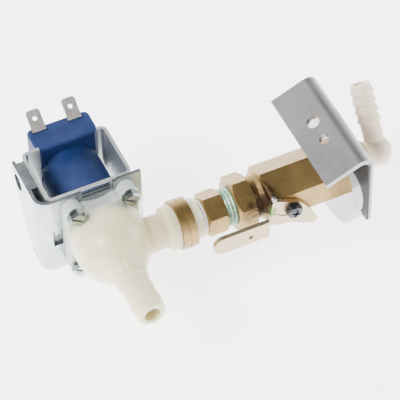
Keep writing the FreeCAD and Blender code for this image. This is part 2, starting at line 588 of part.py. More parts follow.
def ball_seats():
    seats = []
    for start in (CAVITY_FROM, 2 * STEM_X - CAVITY_FROM - SEAT_THICK):
        seats.append(tube_x(CAVITY_R - FIT, PIPE_BORE, start, start + SEAT_THICK).cut(ball_pocket()))
    return Part.makeCompound(seats)


def end_insert():
    """Brass insert that traps the ball and carries the tail thread through the bulkhead."""
    start = 2 * STEM_X - CAVITY_FROM
    body = join([rod_x(CAVITY_R - FIT, start, VALVE_TO), rod_x(TAIL_R, VALVE_TO - 1, TAIL_TO)])
    return body.cut(rod_x(PIPE_BORE, start - 1, TAIL_TO + 1))


def ball():
    body = Part.makeSphere(BALL_R, point(STEM_X, 0, 0)).cut(rod_x(PIPE_BORE, NIPPLE_STOP, VALVE_TO))
    half = TONGUE_HALF + 0.3
    thick = TONGUE_THICK / 2 + TONGUE_PLAY
    return body.cut(block(STEM_X - half, STEM_X + half, -BALL_R - 1, BALL_CUT, -thick, thick))


def stem():
    shaft = rod_y(STEM_R, LEVER_INNER - LEVER_THICK, STEM_FLANGE_Y, STEM_X)
    flange = rod_y(STEM_FLANGE_R, STEM_FLANGE_Y - 0.9, STEM_FLANGE_Y, STEM_X)
    tongue = block(STEM_X - TONGUE_HALF, STEM_X + TONGUE_HALF, STEM_FLANGE_Y - 0.3, BALL_CUT - 0.1,
                   -TONGUE_THICK / 2, TONGUE_THICK / 2)
    tapped = rod_y(SCREW_BORE_R, -BALL_VALVE_HEX, LEVER_SCREW_END + 0.1, STEM_X)
    return join([shaft, flange, tongue]).cut(tapped)


def stem_packing():
    ring = tube_y(GLAND_R - FIT, STEM_R + STEM_CLEAR, PACKING_FRONT, PACKING_BACK)
    return ring.translated(point(STEM_X, 0, 0))


def gland_nut():
    nut = tube_y(GLAND_R - FIT, STEM_R + STEM_CLEAR, LEVER_INNER + 0.3, PACKING_FRONT)
    return nut.translated(point(STEM_X, 0, 0))


def lever():
    """Slanted hub plate with a stop ear, a jog outwards below the slit and the flat handle."""
    outer = LEVER_INNER - LEVER_THICK
    low, high = HANDLE_Z - HANDLE_HALF, HANDLE_Z + HANDLE_HALF
    hub = prism([point(x, outer, z) for x, z in LEVER_HUB], point(0, LEVER_THICK, 0))
    top_in, bend_in, low_in = JOG_INNER
    low_out, bend_out = JOG_OUTER
    jog = prism([point(top_in, outer, low), point(top_in, LEVER_INNER, low), point(bend_in, LEVER_INNER, low),
                 point(low_in, LEVER_INNER - HANDLE_JOG, low), point(JOG_END, LEVER_INNER - HANDLE_JOG, low),
                 point(JOG_END, outer - HANDLE_JOG, low), point(low_out, outer - HANDLE_JOG, low),
                 point(bend_out, outer, low)],
                point(0, 0, high - low))
    trim = [point(JOG_END - 1, 2 * outer, low), point(JOG_END - 1, 2 * outer, high)]
    trim += [point(x, 2 * outer, z) for x, z in JOG_TRIM] + [point(JOG_TRIM[-1][0], 2 * outer, low)]
    jog = jog.common(prism(trim, point(0, -2 * outer, 0)))
    handle = block(HANDLE_END + HANDLE_HALF, low_out, outer - HANDLE_JOG, LEVER_INNER - HANDLE_JOG, low, high)
    tip = rod_y(HANDLE_HALF, outer - HANDLE_JOG, LEVER_INNER - HANDLE_JOG, HANDLE_END + HANDLE_HALF, HANDLE_Z)
    hub = hub.cut(prism([point(x, outer - 1, z) for x, z in LEVER_SLIT], point(0, LEVER_THICK + 2, 0)))
    body = join([hub, jog, handle, tip])
    body = body.cut(rod_y(STEM_R, -30, 0, STEM_X))
    return body.cut(rod_y(HANDLE_HOLE_R, -30, 0, HANDLE_HOLE_X, HANDLE_HOLE_Z))


def lever_screw():
    """Pan-head screw with a cross recess, on its spring washer."""
    face = LEVER_INNER - LEVER_THICK
    head = turned([(face - high, radius) for high, radius in LEVER_SCREW_PROFILE][::-1], "y")
    shank = rod_y(SCREW_BORE_R - FIT, face - 0.5, LEVER_SCREW_END)
    body = join([head, shank]).translated(point(STEM_X, 0, 0))
    for turn in (20, 110):
        arm = block(STEM_X - RECESS_HALF, STEM_X + RECESS_HALF, face - 4, face - RECESS_FROM,
                    -RECESS_WIDE / 2, RECESS_WIDE / 2)
        arm.rotate(point(STEM_X, 0, 0), ALONG_Y, turn)
        body = body.cut(arm)
    return body


# --- bulkhead end -------------------------------------------------------------------

def bulkhead_washer():
    return tube_x(WASHER_R, TAIL_R + TAIL_PLAY, VALVE_TO, WASHER_TO)


def bent_profile(radius, inset):
    """Corner points and arc of the stainless bracket's outline, moved in by inset."""
    slope = math.radians(STEEL_SLOPE)
    normal = (-math.sin(slope), math.cos(slope))
    centre_x = STEEL_FACE - radius
    rise = (-radius - normal[0] * (centre_x - STEEL_LIP_X)) / normal[1]
    centre_z = STEEL_LIP_Z + rise
    arc_r = radius - inset
    on_slope = point(centre_x + arc_r * normal[0], 0, centre_z + arc_r * normal[1])
    middle_angle = (math.pi / 2 + slope) / 2
    middle = point(centre_x + arc_r * math.cos(middle_angle), 0, centre_z + arc_r * math.sin(middle_angle))
    on_face = point(STEEL_FACE - inset, 0, centre_z)
    lip = point(STEEL_LIP_X - inset * normal[0], 0, STEEL_LIP_Z - inset * normal[1])
    foot = point(STEEL_FACE - inset, 0, STEEL_BOTTOM)
    return lip, on_slope, middle, on_face, foot


def stainless_bracket():
    lip, a, m, b, foot = bent_profile(STEEL_BEND, 0.0)
    lip_in, a_in, m_in, b_in, foot_in = bent_profile(STEEL_BEND, STEEL)
    edges = [Part.makeLine(lip, a), Part.Arc(a, m, b).toShape(), Part.makeLine(b, foot),
             Part.makeLine(foot, foot_in), Part.makeLine(foot_in, b_in),
             Part.Arc(b_in, m_in, a_in).toShape(), Part.makeLine(a_in, lip_in), Part.makeLine(lip_in, lip)]
    body = Part.Face(Part.Wire(edges)).extrude(point(0, 2 * STEEL_HALF_Y, 0))
    body.translate(point(0, -STEEL_HALF_Y, 0))
    body = body.cut(rod_x(TAIL_R + TAIL_PLAY, VALVE_TO, TAIL_TO))
    slope = math.radians(STEEL_SLOPE)
    drill = point(math.sin(slope), 0, -math.cos(slope))
    for y, radius in STEEL_HOLES:
        top = point(STEEL_LIP_X + STEEL_HOLE_ALONG * math.cos(slope), y,
                    STEEL_LIP_Z + STEEL_HOLE_ALONG * math.sin(slope))
        body = body.cut(Part.makeCylinder(radius, 8, top - drill * 3, drill))
    return body


def barb_way():
    rise = math.radians(ELBOW_RISE)
    return point(0, math.cos(rise), math.sin(rise))


def along_barb(distance):
    return point(ELBOW_X, 0, 0) + barb_way() * distance


def hose_elbow():
    """Threaded socket and turned corner of the elbow; the barb grows out of it."""
    socket = chamfered_hexagon_x(SOCKET_HEX, STEEL_FACE, SOCKET_TO)
    sleeve = rod_x(SLEEVE_R, SOCKET_TO - 0.5, SLEEVE_TO)
    arm = rod_x(ARM_R, SLEEVE_TO - 1, ELBOW_X)
    knob = Part.makeSphere(KNOB_R, point(ELBOW_X, 0, 0))
    body = join([socket, sleeve, arm, knob])
    body = body.cut(rod_x(TAIL_R, STEEL_FACE - 1, TAIL_TO + 0.1))
    body = body.cut(rod_x(BARB_BORE, TAIL_TO, ELBOW_X))
    body = body.cut(Part.makeSphere(BARB_BORE, point(ELBOW_X, 0, 0)))
    body = body.cut(Part.makeCylinder(BARB_BORE, KNOB_R + 1, along_barb(0), barb_way()))
    return body.cut(Part.makeCylinder(KNOB_R + 1, 10, along_barb(BARB_FROM), barb_way()))


def hose_barb():
    """Ridged arm of the elbow that takes the hose."""
    length = BARB_LENGTH - BARB_FROM
    pieces = [Part.makeCylinder(BARB_R, length, along_barb(BARB_FROM), barb_way())]
    for i in range(BARB_RIDGES):
        start = BARB_LENGTH - 1 - RIDGE_LONG - RIDGE_PITCH * i
        pieces.append(Part.makeCone(BARB_R + RIDGE_HIGH, BARB_R, RIDGE_LONG, along_barb(start), barb_way()))
    body = join(pieces)
    return body.cut(Part.makeCylinder(BARB_BORE, length + 2, along_barb(BARB_FROM - 1), barb_way()))


PARTS = [bracket_plate, bracket_leg, yoke_frame, yoke_shims, coil_bobbin, coil_winding, coil_terminals,
         coil_shell, guide_tube, pole_piece, shading_ring, plunger, plunger_seal, plunger_spring,
         valve_body, bonnet, diaphragm, diaphragm_insert, inlet_strainer, port_ring, body_screws,
         hex_nipple, ptfe_tape, ball_valve_body, stop_pin, ball_seats, end_insert, ball, stem,
         stem_packing, gland_nut, lever, lever_screw, bulkhead_washer, stainless_bracket, hose_elbow,
         hose_barb]

for make in PARTS:
    save(make.__name__, make())
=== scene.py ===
import math

import bpy
from mathutils import Matrix, Vector


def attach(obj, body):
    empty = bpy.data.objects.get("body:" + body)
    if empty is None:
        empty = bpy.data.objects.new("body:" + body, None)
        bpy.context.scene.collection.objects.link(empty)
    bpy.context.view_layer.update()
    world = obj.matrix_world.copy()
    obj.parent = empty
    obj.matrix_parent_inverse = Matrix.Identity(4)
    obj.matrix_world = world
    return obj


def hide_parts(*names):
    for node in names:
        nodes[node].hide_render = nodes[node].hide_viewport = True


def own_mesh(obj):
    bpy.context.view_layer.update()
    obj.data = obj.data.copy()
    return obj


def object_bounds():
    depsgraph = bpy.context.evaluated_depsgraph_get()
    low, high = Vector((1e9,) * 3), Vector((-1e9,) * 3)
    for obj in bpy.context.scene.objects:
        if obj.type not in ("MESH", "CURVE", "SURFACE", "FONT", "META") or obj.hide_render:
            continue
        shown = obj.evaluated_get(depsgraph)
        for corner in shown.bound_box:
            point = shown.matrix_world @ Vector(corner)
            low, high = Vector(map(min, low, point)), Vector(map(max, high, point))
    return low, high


# Looks for the solenoid valve assembly, in the CAD frame. Lengths are metres, or millimetres
# where a comment or a name says so.
MM = 0.001

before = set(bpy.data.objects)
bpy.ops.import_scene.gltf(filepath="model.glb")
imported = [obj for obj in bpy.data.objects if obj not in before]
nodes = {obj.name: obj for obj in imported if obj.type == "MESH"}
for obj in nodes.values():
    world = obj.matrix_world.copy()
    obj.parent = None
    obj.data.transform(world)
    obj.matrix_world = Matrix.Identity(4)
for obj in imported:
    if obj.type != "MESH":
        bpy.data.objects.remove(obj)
cad_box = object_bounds()


# --- camera, lights and floor --------------------------------------------------

VIEW_TURN, VIEW_DOWN, VIEW_ROLL = 23.64, 49.89, -1.65     # degrees
VIEW_DISTANCE = 1.0408                                    # m
AIM_RIGHT, AIM_UP = 0.0359, 0.0201                        # aim point, from the origin, m
LENS, SENSOR_WIDTH = 223.4, 36.0                          # mm
CLIP_NEAR, CLIP_FAR = 0.05, 20.0                          # m


def view_axes():
    """Right, up and forward directions of the camera."""
    turn, down, roll = (math.radians(v) for v in (VIEW_TURN, VIEW_DOWN, VIEW_ROLL))
    forward = Vector((math.sin(turn) * math.cos(down), math.cos(turn) * math.cos(down), -math.sin(down)))
    level = forward.cross(Vector((0, 0, 1))).normalized()
    upright = level.cross(forward)
    right = math.cos(roll) * level + math.sin(roll) * upright
    up = math.cos(roll) * upright - math.sin(roll) * level
    return right, up, forward


def add_camera():
    right, up, forward = view_axes()
    data = bpy.data.cameras.new("camera")
    data.lens, data.sensor_width = LENS, SENSOR_WIDTH
    data.clip_start, data.clip_end = CLIP_NEAR, CLIP_FAR
    camera = bpy.data.objects.new("camera", data)
    bpy.context.collection.objects.link(camera)
    place = right * AIM_RIGHT + up * AIM_UP - forward * VIEW_DISTANCE
    turn = Matrix((right, up, -forward)).transposed()
    camera.matrix_world = Matrix.Translation(place) @ turn.to_4x4()
    bpy.context.scene.camera = camera


def add_area_light(name, place, aim, size, power):
    data = bpy.data.lights.new(name, "AREA")
    data.shape, data.size, data.energy = "DISK", size, power
    light = bpy.data.objects.new(name, data)
    bpy.context.collection.objects.link(light)
    light.location = place
    light.rotation_euler = (aim - place).to_track_quat("-Z", "Y").to_euler()


WORLD_POWER = 2.4
# height of the direction (0 level, 1 straight up) and brightness of the studio there
SKY = ((0.0, 1.0), (0.38, 0.85), (0.66, 0.26), (0.86, 0.06))
SKY_BLUE = 1.01              # blue against red and green in it


def add_world():
    """Bright walls and a dark ceiling, so that upturned metal keeps its depth."""
    world = bpy.data.worlds.new("studio")
    world.use_nodes = True
    bpy.context.scene.world = world
    tree = world.node_tree
    coordinate = tree.nodes.new("ShaderNodeTexCoord")
    split = tree.nodes.new("ShaderNodeSeparateXYZ")
    ramp = tree.nodes.new("ShaderNodeValToRGB")
    tree.links.new(coordinate.outputs["Generated"], split.inputs[0])
    tree.links.new(split.outputs["Z"], ramp.inputs[0])
    tree.links.new(ramp.outputs[0], tree.nodes["Background"].inputs["Color"])
    stops = ramp.color_ramp.elements
    while len(stops) < len(SKY):
        stops.new(1.0)
    for stop, (height, bright) in zip(stops, SKY):
        stop.position, stop.color = height, (bright, bright, bright * SKY_BLUE, 1)
    tree.nodes["Background"].inputs["Strength"].default_value = WORLD_POWER


# area lights: name, place from the object's centre in m, size in m and power in W
LIGHTS = (("key", (-0.80, -0.12, 0.82), 0.45, 25.0),
          ("back", (-0.15, 1.05, 0.40), 0.6, 14.0),
          ("right", (1.00, -0.15, 0.45), 0.5, 10.0))
LEVER_SWEEP = 40.0           # how far the turned handle reaches below the pipe axis, mm
FLOOR_GAP = 0.2              # mm
FLOOR_HALF = 3.0             # half the length of its side, m
FLOOR_GLOW, FLOOR_ROUGHNESS = 3.2, 0.9
PAPER_DARK, PAPER_LIGHT = 0.92, 0.95


def add_stage(centre, low_z):
    """World, lights and a pale paper floor that lies just under everything that moves."""
    add_world()
    for name, offset, size, power in LIGHTS:
        add_area_light(name, centre + Vector(offset), centre, size, power)
    floor_z = min(low_z, -LEVER_SWEEP * MM) - FLOOR_GAP * MM
    corners = [(x * FLOOR_HALF, y * FLOOR_HALF, floor_z) for x, y in ((-1, -1), (1, -1), (1, 1), (-1, 1))]
    mesh = bpy.data.meshes.new("floor")
    mesh.from_pydata(corners, [], [(0, 1, 2, 3)])
    floor = bpy.data.objects.new("floor", mesh)
    bpy.context.collection.objects.link(floor)
    kit = Kit("floor_paper")
    grain = kit.noise(0.3, 4)
    paper = kit.ramp(grain, (0.3, PAPER_DARK), (0.7, PAPER_LIGHT))
    kit.set("Base Color", paper)
    kit.set("Emission Color", paper)
    kit.set("Emission Strength", FLOOR_GLOW)
    kit.set("Roughness", FLOOR_ROUGHNESS)
    floor.data.materials.append(kit.material)


# --- material building blocks ----------------------------------------------------

class Kit:
    """Builds one Principled material. Textures run in millimetres of object space."""

    def __init__(self, name):
        self.material = bpy.data.materials.new(name)
        self.material.use_nodes = True
        self.tree = self.material.node_tree
        self.shader = self.tree.nodes["Principled BSDF"]
        coordinate = self.node("ShaderNodeTexCoord")
        self.place = coordinate.outputs["Object"]
        self.space = self.scaled((1.0, 1.0, 1.0))

    def node(self, kind):
        return self.tree.nodes.new(kind)

    def link(self, source, target):
        self.tree.links.new(source, target)

    def scaled(self, stretch):
        """Object coordinates in millimetres, times stretch along each axis."""
        mapping = self.node("ShaderNodeMapping")
        mapping.inputs["Scale"].default_value = [s / MM for s in stretch]
        self.link(self.place, mapping.inputs["Vector"])
        return mapping.outputs["Vector"]

    def set(self, socket, value):
        """Links a texture to the shader's socket, or sets a number or a colour there."""
        target = self.shader.inputs[socket]
        if isinstance(value, bpy.types.NodeSocket):
            self.link(value, target)
        else:
            target.default_value = value

    def noise(self, scale, detail=3, distortion=0.0, space=None):
        """Noise with scale cells to the millimetre."""
        texture = self.node("ShaderNodeTexNoise")
        texture.inputs["Scale"].default_value = scale
        texture.inputs["Detail"].default_value = detail
        texture.inputs["Distortion"].default_value = distortion
        self.link(space or self.space, texture.inputs["Vector"])
        return texture.outputs["Fac"]

    def ramp(self, value, *stops):
        """Turns a value into the colours or greys given as (position, colour) stops."""
        node = self.node("ShaderNodeValToRGB")
        elements = node.color_ramp.elements
        while len(elements) < len(stops):
            elements.new(0.5)
        for element, (position, colour) in zip(elements, stops):
            element.position = position
            if isinstance(colour, (int, float)):
                colour = (colour, colour, colour)
            element.color = (*colour, 1.0)
        self.link(value, node.inputs[0])
        return node.outputs[0]

    def math(self, operation, a, b=0.0, clamp=False):
        node = self.node("ShaderNodeMath")
        node.operation, node.use_clamp = operation, clamp
        for socket, value in zip(node.inputs, (a, b)):
            if isinstance(value, bpy.types.NodeSocket):
                self.link(value, socket)
            else:
                socket.default_value = value
        return node.outputs[0]

    def mix(self, factor, a, b):
        """Goes from colour a to colour b as the factor, a texture, goes from 0 to 1."""
        node = self.node("ShaderNodeMix")
        node.data_type = "RGBA"
        self.link(factor, node.inputs[0])
        colours = [s for s in node.inputs if s.type == "RGBA"]
        for socket, value in zip(colours, (a, b)):
            if isinstance(value, bpy.types.NodeSocket):
                self.link(value, socket)
            else:
                socket.default_value = (*value, 1.0)
        return [s for s in node.outputs if s.type == "RGBA"][0]

    def bump(self, height, strength, depth_mm):
        node = self.node("ShaderNodeBump")
        node.inputs["Strength"].default_value = strength
        node.inputs["Distance"].default_value = depth_mm * MM
        self.link(height, node.inputs["Height"])
        return node.outputs["Normal"]

    def near(self, centre, radius):
        """1 at a point of the object, falling to 0 at radius, all in millimetres."""
        distance = self.node("ShaderNodeVectorMath")
        distance.operation = "DISTANCE"
        self.link(self.place, distance.inputs[0])
        distance.inputs[1].default_value = [v * MM for v in centre]
        share = self.math("DIVIDE", distance.outputs["Value"], radius * MM)
        return self.math("SUBTRACT", 1.0, share, clamp=True)

    def zone(self, axis, low_mm, high_mm, soft_mm):
        """1 between two places along an axis of the object, with soft ends."""
        split = self.node("ShaderNodeSeparateXYZ")
        self.link(self.place, split.inputs[0])
        where = self.math("MULTIPLY", split.outputs[axis], 1 / MM)
        rise = self.math("DIVIDE", self.math("SUBTRACT", where, low_mm - soft_mm / 2), soft_mm, clamp=True)
        fall = self.math("DIVIDE", self.math("SUBTRACT", high_mm + soft_mm / 2, where), soft_mm, clamp=True)
        return self.math("MULTIPLY", rise, fall)

    def corner(self, first, second):
        """1 where two zones meet."""
        return self.math("MULTIPLY", self.zone(*first), self.zone(*second))


# --- materials -----------------------------------------------------------------

# colours and values that several materials share
# SHADE is the colour of the shade painted into the zinc's recesses
SHADE = (0.06, 0.07, 0.075)
MATTE_GRAIN = 1.2                                        # cells to the millimetre
BRASS_METALLIC = 0.9
RUBBER_DARK, RUBBER_LIGHT = (0.015, 0.015, 0.015), (0.035, 0.035, 0.035)
STEEL_DARK, STEEL_LIGHT = (0.50, 0.50, 0.50), (0.66, 0.66, 0.66)

# marks: centre and reach in mm, and colour
STAIN_AND_SHADOW_PLACE, STAIN_AND_SHADOW_REACH = (65.0, -9.0, 4.0), 11.5       # heat stains on the ball valve, with the lever's painted shadow over them
STAIN_AND_SHADOW_COLOUR = (0.05, 0.030, 0.016)
PAINT_PLACE, PAINT_REACH = (66.6, -13.4, 3.0), 3.4       # dab on the lever
PAINT_COLOUR = (0.10, 0.24, 0.05)
AMBER_SHADE_PLACE, AMBER_SHADE_REACH = (14.0, -3.0, 2.0), 24.0       # warmer nylon at the inlet neck: thicker there, with painted shade on that side
AMBER_SHADE_COLOUR = (0.56, 0.46, 0.26)

# zones: axis, start, end and softness of the ends in mm
SEALANT_ZONE = ("X", 49.6, 53.8, 0.3)                    # on the nipple's thread
PIN_SHAFT = ("Y", -12.6, 5.0, 1.2)
# painted shade on the inner face of the stainless bracket's flange, where its slope and the washer shadow
# it
FLANGE_SHADE_ZONES = ("X", 104.0, 106.4, 0.6), ("Z", -12.0, 28.0, 3.0)
FLANGE_SHADE_COLOUR = (0.045, 0.042, 0.040)
COOL_SHADE_ZONES = ("Y", 9.0, 20.0, 5.0), ("X", -40.0, 18.0, 4.0)
COOL_SHADE_COLOUR = (0.36, 0.41, 0.43)                         # greyer, bluer nylon beside the bracket: painted shade and a painted reflection of the blue coil


def zinc_plate(name="zinc_plate", dark=(0.38, 0.43, 0.47), light=(0.60, 0.63, 0.62), rough=0.20,
               shades=()):
    """Zinc-plated sheet; each painted shade is how much darker it is painted where all its zones meet."""
    kit = Kit(name)
    cloud = kit.noise(0.10, 3, 0.4)
    colour = kit.ramp(cloud, (0.30, dark), (0.72, light))
    for amount, *zones in shades:
        for zone in zones:
            amount = kit.math("MULTIPLY", kit.zone(*zone), amount)
        # painted shade
        colour = kit.mix(amount, colour, SHADE)
    kit.set("Base Color", colour)
    kit.set("Metallic", 1.0)
    kit.set("Roughness", kit.ramp(kit.noise(0.25, 3), (0.3, rough), (0.7, rough + 0.07)))
    kit.set("Normal", kit.bump(kit.noise(0.7, 4), 0.30, 0.05))
    return kit.material


def brushed_steel():
    kit = Kit("brushed_steel")
    streaks = kit.noise(1.0, 4, space=kit.scaled((5.0, 0.12, 5.0)))
    cloud = kit.noise(0.06, 3, 0.3)
    colour = kit.ramp(cloud, (0.3, (0.27, 0.26, 0.27)), (0.7, (0.35, 0.34, 0.34)))
    colour = kit.mix(kit.math("MULTIPLY", streaks, 0.30), colour, (0.45, 0.44, 0.44))
    # painted shade on the flange's inner face
    kit.set("Base Color", kit.mix(kit.corner(*FLANGE_SHADE_ZONES), colour, FLANGE_SHADE_COLOUR))
    kit.set("Metallic", 1.0)
    kit.set("Roughness", kit.ramp(streaks, (0.3, 0.30), (0.7, 0.40)))
    kit.set("Normal", kit.bump(streaks, 0.20, 0.02))
    return kit.material


def polished_steel():
    kit = Kit("polished_steel")
    cloud = kit.noise(0.12, 3)
    kit.set("Base Color", kit.ramp(cloud, (0.3, (0.36, 0.355, 0.36)), (0.7, (0.44, 0.43, 0.43))))
    kit.set("Metallic", 1.0)
    kit.set("Roughness", kit.ramp(kit.noise(0.4, 4), (0.35, 0.06), (0.7, 0.12)))
    kit.set("Normal", kit.bump(kit.noise(0.5, 4), 0.08, 0.03))
    return kit.material


def brass(name="brass", stain_and_shadow=0.0, thread=False):
    """Drawn brass, darkened round the neck by heat marks and the lever's painted shadow where asked, with
    green sealant on a thread where asked.
    """
    kit = Kit(name)
    drawn = kit.noise(1.0, 4, space=kit.scaled((0.06, 2.0, 2.0)))
    cloud = kit.noise(0.09, 3, 0.6)
    colour = kit.ramp(cloud, (0.32, (0.29, 0.190, 0.072)), (0.68, (0.37, 0.250, 0.100)))
    colour = kit.mix(kit.math("MULTIPLY", drawn, 0.22), colour, (0.30, 0.19, 0.07))
    rough = kit.ramp(kit.noise(0.3, 3), (0.3, 0.30), (0.7, 0.36))
    if stain_and_shadow:
        # heat stains mixed with the lever's painted shadow
        blot = kit.near(STAIN_AND_SHADOW_PLACE, STAIN_AND_SHADOW_REACH)
        patches = kit.ramp(kit.noise(0.20, 3, 0.4), (0.36, 0.15), (0.60, 1.0))
        blot = kit.math("MULTIPLY", kit.math("MULTIPLY", blot, stain_and_shadow), patches, clamp=True)
        colour = kit.mix(blot, colour, STAIN_AND_SHADOW_COLOUR)
        rough = kit.mix(blot, rough, (0.55, 0.55, 0.55))
    if thread:
        patches = kit.ramp(kit.noise(1.1, 3), (0.30, 0.55), (0.48, 1.0))
        sealant = kit.math("MULTIPLY", kit.zone(*SEALANT_ZONE), patches)
        green = kit.ramp(kit.noise(1.0, 3), (0.35, (0.10, 0.27, 0.19)), (0.68, (0.40, 0.58, 0.46)))
        colour = kit.mix(sealant, colour, green)
        kit.set("Metallic", kit.math("SUBTRACT", BRASS_METALLIC, kit.math("MULTIPLY", sealant, 0.8)))
        rough = kit.mix(sealant, rough, (0.42, 0.42, 0.42))
    else:
        kit.set("Metallic", BRASS_METALLIC)
    kit.set("Base Color", colour)
    kit.set("Roughness", rough)
    kit.set("Normal", kit.bump(drawn, 0.10, 0.02))
    return kit.material


def nylon(name, pale, deep, scatter_mm):
    """Translucent moulded nylon, with painted shade at the inlet neck and beside the bracket."""
    kit = Kit(name)
    cloud = kit.noise(0.06, 3, 0.5)
    colour = kit.ramp(cloud, (0.30, deep), (0.68, pale))
    # warmer where the nylon is thick, and painted shade away from the light
    amber_shade = kit.math("MULTIPLY", kit.near(AMBER_SHADE_PLACE, AMBER_SHADE_REACH), 1.1, clamp=True)
    colour = kit.mix(amber_shade, colour, AMBER_SHADE_COLOUR)
    # painted shade and painted blue reflection beside the bracket
    cool_shade = kit.math("MULTIPLY", kit.corner(*COOL_SHADE_ZONES), 0.8)
    colour = kit.mix(cool_shade, colour, COOL_SHADE_COLOUR)
    kit.set("Base Color", colour)
    kit.set("Subsurface Weight", 0.7)
    kit.set("Subsurface Radius", (0.9, 0.80, 0.55))
    kit.set("Subsurface Scale", scatter_mm * MM)
    kit.set("Roughness", kit.ramp(kit.noise(0.3, 3), (0.3, 0.32), (0.7, 0.42)))
    kit.set("IOR", 1.53)
    kit.set("Normal", kit.bump(kit.noise(0.6, 4), 0.14, 0.06))
    return kit.material


def blue_plastic():
    kit = Kit("blue_plastic")
    cloud = kit.noise(0.12, 3)
    kit.set("Base Color", kit.ramp(cloud, (0.3, (0.006, 0.017, 0.070)), (0.7, (0.010, 0.026, 0.098))))
    kit.set("Roughness", kit.ramp(kit.noise(0.4, 3), (0.3, 0.44), (0.7, 0.52)))
    kit.set("Specular IOR Level", 0.2)
    kit.set("Normal", kit.bump(kit.noise(3.0, 3), 0.20, 0.04))
    return kit.material


def yellow_zinc():
    kit = Kit("yellow_zinc")
    hue = kit.noise(0.10, 3, 0.8)
    colour = kit.ramp(hue, (0.30, (0.50, 0.33, 0.25)), (0.46, (0.50, 0.38, 0.23)),
                      (0.60, (0.44, 0.38, 0.25)), (0.74, (0.52, 0.33, 0.31)))
    paint = kit.math("MULTIPLY", kit.near(PAINT_PLACE, PAINT_REACH), 3.0, clamp=True)
    paint = kit.math("MULTIPLY", paint, kit.ramp(kit.noise(0.9, 3), (0.38, 0.0), (0.50, 1.0)))
    kit.set("Base Color", kit.mix(paint, colour, PAINT_COLOUR))
    kit.set("Metallic", kit.math("SUBTRACT", 1.0, kit.math("MULTIPLY", paint, 0.7)))
    kit.set("Roughness", kit.ramp(kit.noise(0.4, 3), (0.3, 0.24), (0.7, 0.34)))
    kit.set("Normal", kit.bump(kit.noise(0.9, 4), 0.20, 0.04))
    return kit.material


def tinned():
    kit = Kit("tinned_brass")
    streaks = kit.noise(1.0, 4, space=kit.scaled((2.5, 0.25, 0.25)))
    kit.set("Base Color", kit.ramp(streaks, (0.3, (0.68, 0.64, 0.60)), (0.7, (0.84, 0.80, 0.76))))
    kit.set("Metallic", 1.0)
    kit.set("Roughness", kit.ramp(streaks, (0.3, 0.32), (0.7, 0.45)))
    kit.set("Normal", kit.bump(streaks, 0.15, 0.03))
    return kit.material


def pin_metal():
    """Grey steel dome on a shaft browned where it is brazed in."""
    kit = Kit("pin_metal")
    shaft = kit.zone(*PIN_SHAFT)
    brown = kit.ramp(kit.noise(0.8), (0.3, (0.05, 0.03, 0.02)), (0.7, (0.16, 0.10, 0.05)))
    kit.set("Base Color", kit.mix(shaft, (0.42, 0.43, 0.43), brown))
    kit.set("Metallic", 1.0)
    kit.set("Roughness", kit.ramp(kit.noise(0.8), (0.3, 0.30), (0.7, 0.42)))
    return kit.material


def dark_metal():
    kit = Kit("dark_metal")
    cloud = kit.noise(0.8, 4)
    kit.set("Base Color", kit.ramp(cloud, (0.3, (0.05, 0.05, 0.06)), (0.7, (0.11, 0.11, 0.12))))
    kit.set("Metallic", 1.0)
    kit.set("Roughness", kit.ramp(cloud, (0.3, 0.18), (0.7, 0.30)))
    kit.set("Normal", kit.bump(kit.noise(2.0, 4), 0.1, 0.03))
    return kit.material


def plain_metal(name, low, high, roughness):
    """Machined metal for the parts inside."""
    kit = Kit(name)
    turned = kit.noise(1.0, 3, space=kit.scaled((0.6, 5.0, 0.6)))
    kit.set("Base Color", kit.ramp(turned, (0.3, low), (0.7, high)))
    kit.set("Metallic", 1.0)
    kit.set("Roughness", kit.ramp(kit.noise(0.8), (0.3, roughness - 0.06), (0.7, roughness + 0.08)))
    kit.set("Normal", kit.bump(turned, 0.1, 0.02))
    return kit.material


def matte(name, low, high, roughness):
    """Rubber, PTFE or bobbin plastic."""
    kit = Kit(name)
    cloud = kit.noise(MATTE_GRAIN, 4)
    kit.set("Base Color", kit.ramp(cloud, (0.3, low), (0.7, high)))
    fine = kit.noise(MATTE_GRAIN * 2)
    kit.set("Roughness", kit.ramp(fine, (0.3, roughness - 0.05), (0.7, roughness + 0.1)))
    kit.set("Normal", kit.bump(cloud, 0.2, 0.05))
    return kit.material


# --- geometry helpers ------------------------------------------------------------

def new_object(name, mesh, material, *stands_for):
    """A piece that moves with the valve and takes the place of the CAD nodes named last."""
    piece = bpy.data.objects.new(name, mesh)
    bpy.context.collection.objects.link(piece)
    coat(piece, material)
    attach(piece, "valve")
    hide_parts(*stands_for)
    return piece


def evaluated_copy(piece, name):
    """The piece's mesh with its modifiers applied."""
    bpy.context.view_layer.update()
    graph = bpy.context.evaluated_depsgraph_get()
    mesh = bpy.data.meshes.new_from_object(piece.evaluated_get(graph))
    mesh.name = name
    return mesh


def merged_copy(name, sources):
    """One object that holds the meshes of several CAD nodes."""
    mesh = bpy.data.meshes.new(name)
    points, faces = [], []
    for source in sources:
        first = len(points)
        points += [tuple(v.co) for v in nodes[source].data.vertices]
        faces += [[first + i for i in polygon.vertices] for polygon in nodes[source].data.polygons]
    mesh.from_pydata(points, [], faces)
    piece = bpy.data.objects.new(name, mesh)
    bpy.context.collection.objects.link(piece)
    return piece


def moulded(name, sources, softness, material):
    """A moulded plastic part: its CAD solids with the soft edges that a mould leaves."""
    voxel_mm, rounds = softness
    rough = merged_copy(name + "_rough", sources)
    remesh = rough.modifiers.new("voxels", "REMESH")
    remesh.mode, remesh.voxel_size = "VOXEL", voxel_mm * MM
    smooth = rough.modifiers.new("soften", "SMOOTH")
    smooth.iterations = rounds
    mesh = evaluated_copy(rough, name)
    bpy.data.objects.remove(rough)
    for polygon in mesh.polygons:
        polygon.use_smooth = True
    piece = new_object(name, mesh, material, *sources)


